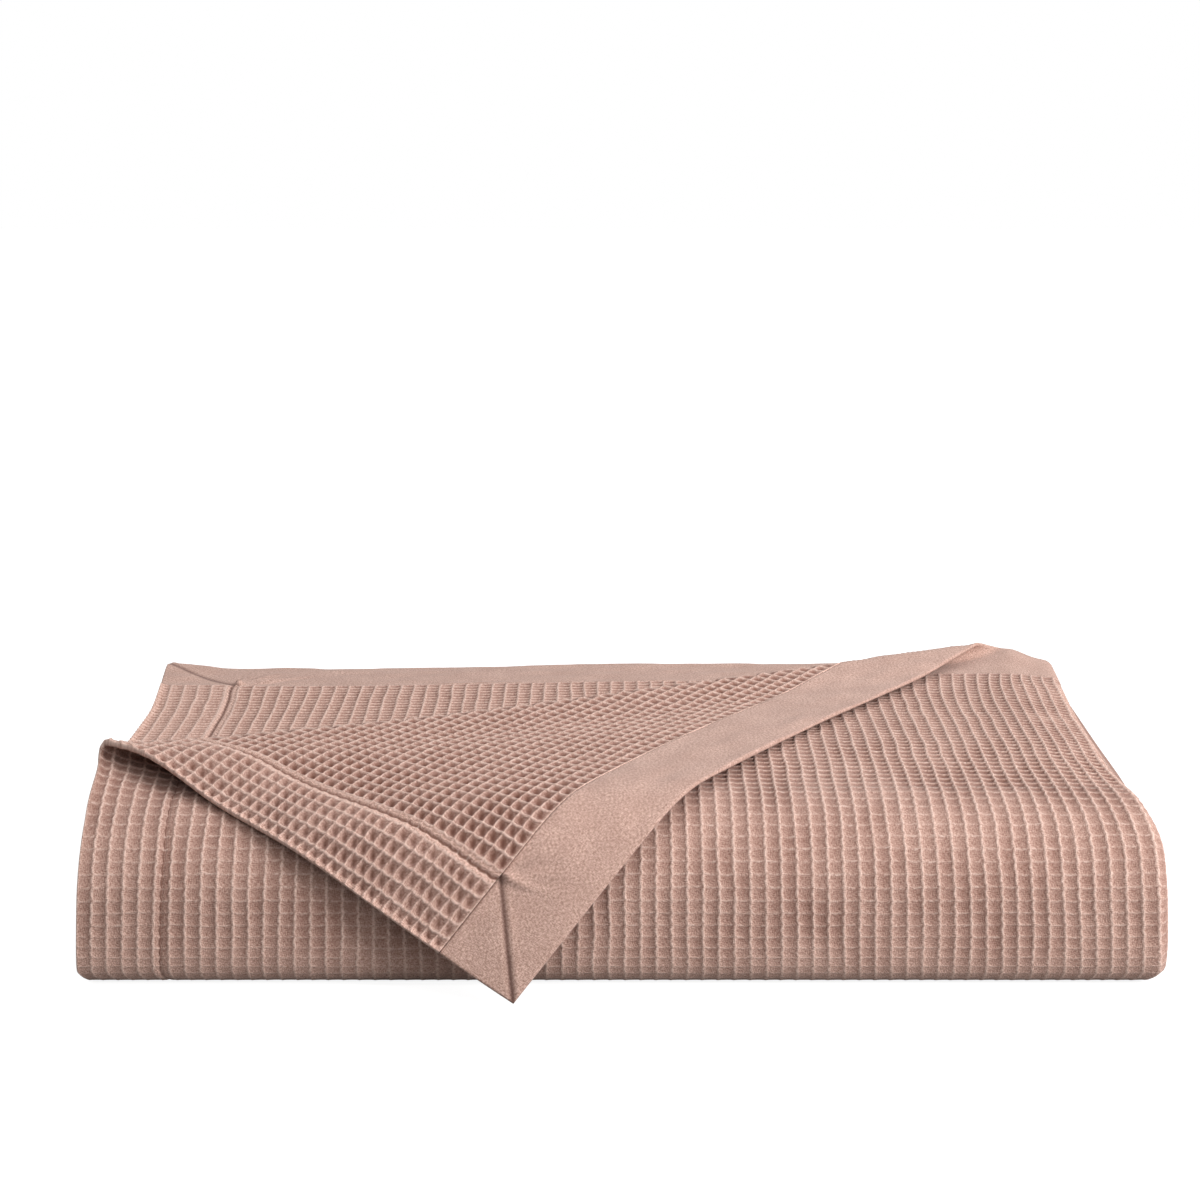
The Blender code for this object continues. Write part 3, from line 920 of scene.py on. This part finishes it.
class Nodes:
    """Short calls for building a node tree."""

    def __init__(self, name):
        self.material = bpy.data.materials.new(name)
        self.material.use_nodes = True
        self.tree = self.material.node_tree
        self.shader = self.tree.nodes["Principled BSDF"]

    def add(self, kind, **values):
        node = self.tree.nodes.new(kind)
        for key, value in values.items():
            setattr(node, key, value)
        return node

    def link(self, source, target):
        self.tree.links.new(source, target)

    def math(self, operation, first, second=0.0, third=0.0):
        node = self.add("ShaderNodeMath", operation=operation)
        for socket, value in zip(node.inputs, (first, second, third)):
            if isinstance(value, (int, float)):
                socket.default_value = value
            else:
                self.link(value, socket)
        return node.outputs[0]

    def uv(self, layer):
        node = self.add("ShaderNodeUVMap", uv_map=layer)
        split = self.add("ShaderNodeSeparateXYZ")
        self.link(node.outputs["UV"], split.inputs[0])
        return node.outputs["UV"], split.outputs["X"], split.outputs["Y"]

    def noise(self, vector, scale, detail=3.0):
        node = self.add("ShaderNodeTexNoise")
        node.inputs["Scale"].default_value = scale
        node.inputs["Detail"].default_value = detail
        self.link(vector, node.inputs["Vector"])
        return node.outputs["Fac"]

    def mix(self, factor, first, second):
        node = self.add("ShaderNodeMix", data_type="RGBA")
        self.link(factor, node.inputs["Factor"])
        for name, value in (("A", first), ("B", second)):
            socket = [s for s in node.inputs if s.name == name and s.type == "RGBA"][0]
            if isinstance(value, tuple):
                socket.default_value = (*value, 1.0)
            else:
                self.link(value, socket)
        return [s for s in node.outputs if s.type == "RGBA"][0]


def line_share(nodes, cells, pitch, width):
    """1 on the lines of the weave, fading over a width in metres."""
    away = nodes.math("PINGPONG", cells, 0.5)
    part = nodes.math("MULTIPLY", away, pitch / width)
    return nodes.math("SUBTRACT", 1.0, nodes.math("MINIMUM", part, 1.0))


def cotton(nodes, colour, height, strength, distance):
    """Join a colour and a height to a matte cotton shader with a soft sheen."""
    nodes.link(colour, nodes.shader.inputs["Base Color"])
    relief = nodes.add("ShaderNodeBump")
    relief.inputs["Strength"].default_value = strength
    relief.inputs["Distance"].default_value = distance
    nodes.link(height, relief.inputs["Height"])
    nodes.link(relief.outputs["Normal"], nodes.shader.inputs["Normal"])
    nodes.shader.inputs["Roughness"].default_value = ROUGHNESS
    nodes.shader.inputs["Specular IOR Level"].default_value = SPECULAR
    nodes.shader.inputs["Sheen Weight"].default_value = SHEEN
    nodes.shader.inputs["Sheen Roughness"].default_value = SHEEN_ROUGHNESS
    return nodes.material


def yarn_noise(nodes, flat):
    """Fuzzy yarn that runs both ways of the cloth, about 0.5 on average."""
    runs = []
    for stretch in (YARN_STRETCH, YARN_STRETCH[::-1]):
        scaled = nodes.add("ShaderNodeVectorMath", operation="MULTIPLY")
        nodes.link(flat, scaled.inputs[0])
        scaled.inputs[1].default_value = (*stretch, 1.0)
        runs.append(nodes.noise(scaled.outputs[0], 1.0 / YARN, 2.0))
    return nodes.math("MULTIPLY", nodes.math("ADD", *runs), 0.5)


def contrast(nodes, value, gain):
    """Spread a value about 0.5, kept within 0 and 1."""
    node = nodes.add("ShaderNodeMapRange")
    nodes.link(value, node.inputs["Value"])
    node.inputs["From Min"].default_value = 0.5 - 0.5 / gain
    node.inputs["From Max"].default_value = 0.5 + 0.5 / gain
    return node.outputs["Result"]


def waffle_material(name, relief):
    """Waffle cotton: a painted highlight on its ridges and painted shade in its pits, or its cells as bump.
    """
    nodes = Nodes(name)
    flat, _, _ = nodes.uv("flat")
    _, column, row = nodes.uv("cells")
    pit = nodes.add("ShaderNodeAttribute", attribute_name="pit").outputs["Fac"]
    ribs = line_share(nodes, column, COLUMN, RIB_LINE)
    rows = line_share(nodes, row, ROW, ROW_LINE)
    yarn = yarn_noise(nodes, flat)
    # Painted highlight on the ribs, and on the rows broken up in patches
    patchy = nodes.math("MULTIPLY", rows, contrast(nodes, nodes.noise(flat, PATCH_SCALE), PATCH_GAIN))
    crest = nodes.math("MULTIPLY", nodes.math("MAXIMUM", ribs, patchy), LINE_SHARE)
    colour = nodes.mix(contrast(nodes, yarn, WAFFLE_YARN_GAIN), WAFFLE_DARK, WAFFLE_LIGHT)
    # Painted shade in the pits, from the pit attribute
    raised = nodes.math("POWER", nodes.math("SUBTRACT", 1.0, pit), PIT_POWER)
    deep = nodes.math("MULTIPLY", nodes.math("SUBTRACT", 1.0, raised), PIT_SHARE)
    colour = nodes.mix(deep, colour, PIT_SHADE_COLOUR)
    # The painted highlight is broken up further by fine noise
    fuzz = contrast(nodes, nodes.noise(flat, FUZZ_SCALE), FUZZ_GAIN)
    painted_highlight = nodes.math("MULTIPLY", crest, nodes.math("MULTIPLY_ADD", fuzz, FUZZ, 1.0 - FUZZ))
    colour = nodes.mix(painted_highlight, colour, CREST_HIGHLIGHT_COLOUR)
    height = nodes.math("MULTIPLY_ADD", crest, LINE_RELIEF, nodes.math("MULTIPLY", yarn, YARN_RELIEF))
    if relief:
        wide = nodes.math("MAXIMUM", line_share(nodes, column, COLUMN, COLUMN / 2.0),
                          line_share(nodes, row, ROW, ROW / 2.0))
        height = nodes.math("MULTIPLY_ADD", wide, CELL_RELIEF, height)
    return cotton(nodes, colour, height, *WAFFLE_BUMP)


def band_material(name):
    """Plain-weave cotton with a fine even yarn, with painted shade in the groove of its mitre."""
    nodes = Nodes(name)
    flat, _, _ = nodes.uv("flat")
    groove = nodes.add("ShaderNodeAttribute", attribute_name="pit").outputs["Fac"]
    yarn = yarn_noise(nodes, flat)
    colour = nodes.mix(contrast(nodes, yarn, BAND_YARN_GAIN), BAND_DARK, BAND_LIGHT)
    mottle = contrast(nodes, nodes.noise(flat, MOTTLE_SCALE), MOTTLE_GAIN)
    colour = nodes.mix(nodes.math("MULTIPLY", mottle, MOTTLE), colour, BAND_DARK)
    # Painted shade in the mitre's groove
    colour = nodes.mix(groove, colour, GROOVE_SHADE_COLOUR)
    return cotton(nodes, colour, yarn, *BAND_BUMP)


# ---- Studio -------------------------------------------------------------------------------------


def make_floor():
    """A pale floor that the camera sees as white."""
    mesh = bpy.data.meshes.new("floor")
    corners = ((-1, -1), (1, -1), (1, 1), (-1, 1))
    mesh.from_pydata([(x * FLOOR_HALF, y * FLOOR_HALF, 0.0) for x, y in corners], [], [(0, 1, 2, 3)])
    floor = bpy.data.objects.new("floor", mesh)
    bpy.context.scene.collection.objects.link(floor)
    nodes = Nodes("floor")
    nodes.shader.inputs["Base Color"].default_value = (FLOOR_BOUNCE, FLOOR_BOUNCE, FLOOR_BOUNCE, 1.0)
    nodes.shader.inputs["Emission Color"].default_value = (1.0, 1.0, 1.0, 1.0)
    seen = nodes.add("ShaderNodeLightPath").outputs["Is Camera Ray"]
    nodes.link(nodes.math("MULTIPLY", seen, FLOOR_WASH), nodes.shader.inputs["Emission Strength"])
    nodes.shader.inputs["Roughness"].default_value = ROUGHNESS
    mesh.materials.append(nodes.material)


def make_key():
    """A broad soft light on the right, as strong at the blanket whatever its distance."""
    data = bpy.data.lights.new("key", "AREA")
    data.size = KEY_SIZE
    data.energy = KEY_POWER * (math.pi * KEY_AWAY) ** 2
    light = bpy.data.objects.new("key", data)
    light.location = Vector(KEY_FROM) * KEY_AWAY
    light.rotation_euler = Vector(KEY_FROM).to_track_quat("Z", "Y").to_euler()
    bpy.context.scene.collection.objects.link(light)


def make_world():
    """A soft sky, brightest high in front, that the camera sees as plain white."""
    world = bpy.data.worlds.new("studio")
    world.use_nodes = True
    tree = world.node_tree
    background = tree.nodes["Background"]
    background.inputs["Color"].default_value = (1.0, 1.0, 1.0, 1.0)
    ray = tree.nodes.new("ShaderNodeTexCoord")
    toward = tree.nodes.new("ShaderNodeVectorMath")
    toward.operation = "DOT_PRODUCT"
    toward.inputs[1].default_value = SKY_FROM
    tree.links.new(ray.outputs["Generated"], toward.inputs[0])
    lit = tree.nodes.new("ShaderNodeMapRange")
    lit.interpolation_type = "SMOOTHSTEP"
    lit.inputs["From Min"].default_value = SKY_EDGE
    lit.inputs["To Min"].default_value = SKY_LOW
    lit.inputs["To Max"].default_value = SKY_HIGH
    tree.links.new(toward.outputs["Value"], lit.inputs["Value"])
    path = tree.nodes.new("ShaderNodeLightPath")
    level = tree.nodes.new("ShaderNodeMapRange")
    level.inputs["To Max"].default_value = 1.0
    tree.links.new(path.outputs["Is Camera Ray"], level.inputs["Value"])
    tree.links.new(lit.outputs["Result"], level.inputs["To Min"])
    tree.links.new(level.outputs["Result"], background.inputs["Strength"])
    bpy.context.scene.world = world
    bpy.context.scene.view_settings.view_transform = "Standard"


def make_camera():
    """The photograph's camera."""
    data = bpy.data.cameras.new("camera")
    data.lens = LENS
    data.sensor_width = SENSOR
    camera = bpy.data.objects.new("camera", data)
    camera.location = (CAMERA_X, -CAMERA_BACK - CENTRE_D, CAMERA_UP)
    camera.rotation_euler = (math.pi / 2.0 - CAMERA_DOWN, 0.0, 0.0)
    bpy.context.scene.collection.objects.link(camera)
    bpy.context.scene.camera = camera


def dress(piece, node, material):
    """Give a piece its material and its body, and hide the solid that it stands for."""
    piece.data.materials.append(material)
    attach(piece, "root")
    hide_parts(node)


def main():
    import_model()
    rest, blocks = make_waffle()
    dress(rest, "waffle_cloth", waffle_material("waffle_cotton_plain", True))
    fine = waffle_material("waffle_cotton", False)
    for block in blocks:
        dress(block, "waffle_cloth", fine)
    top_band = make_band("band_top", 0.0, BAND - SEAM_GAP / 2.0, True)
    inner_band = make_band("band_inner", LENGTH - BAND + SEAM_GAP / 2.0, LENGTH, False)
    plain = band_material("plain_cotton")
    dress(top_band, "end_band_top", plain)
    dress(inner_band, "end_band_inner", plain)
    make_floor()
    make_key()
    make_world()
    make_camera()


main()
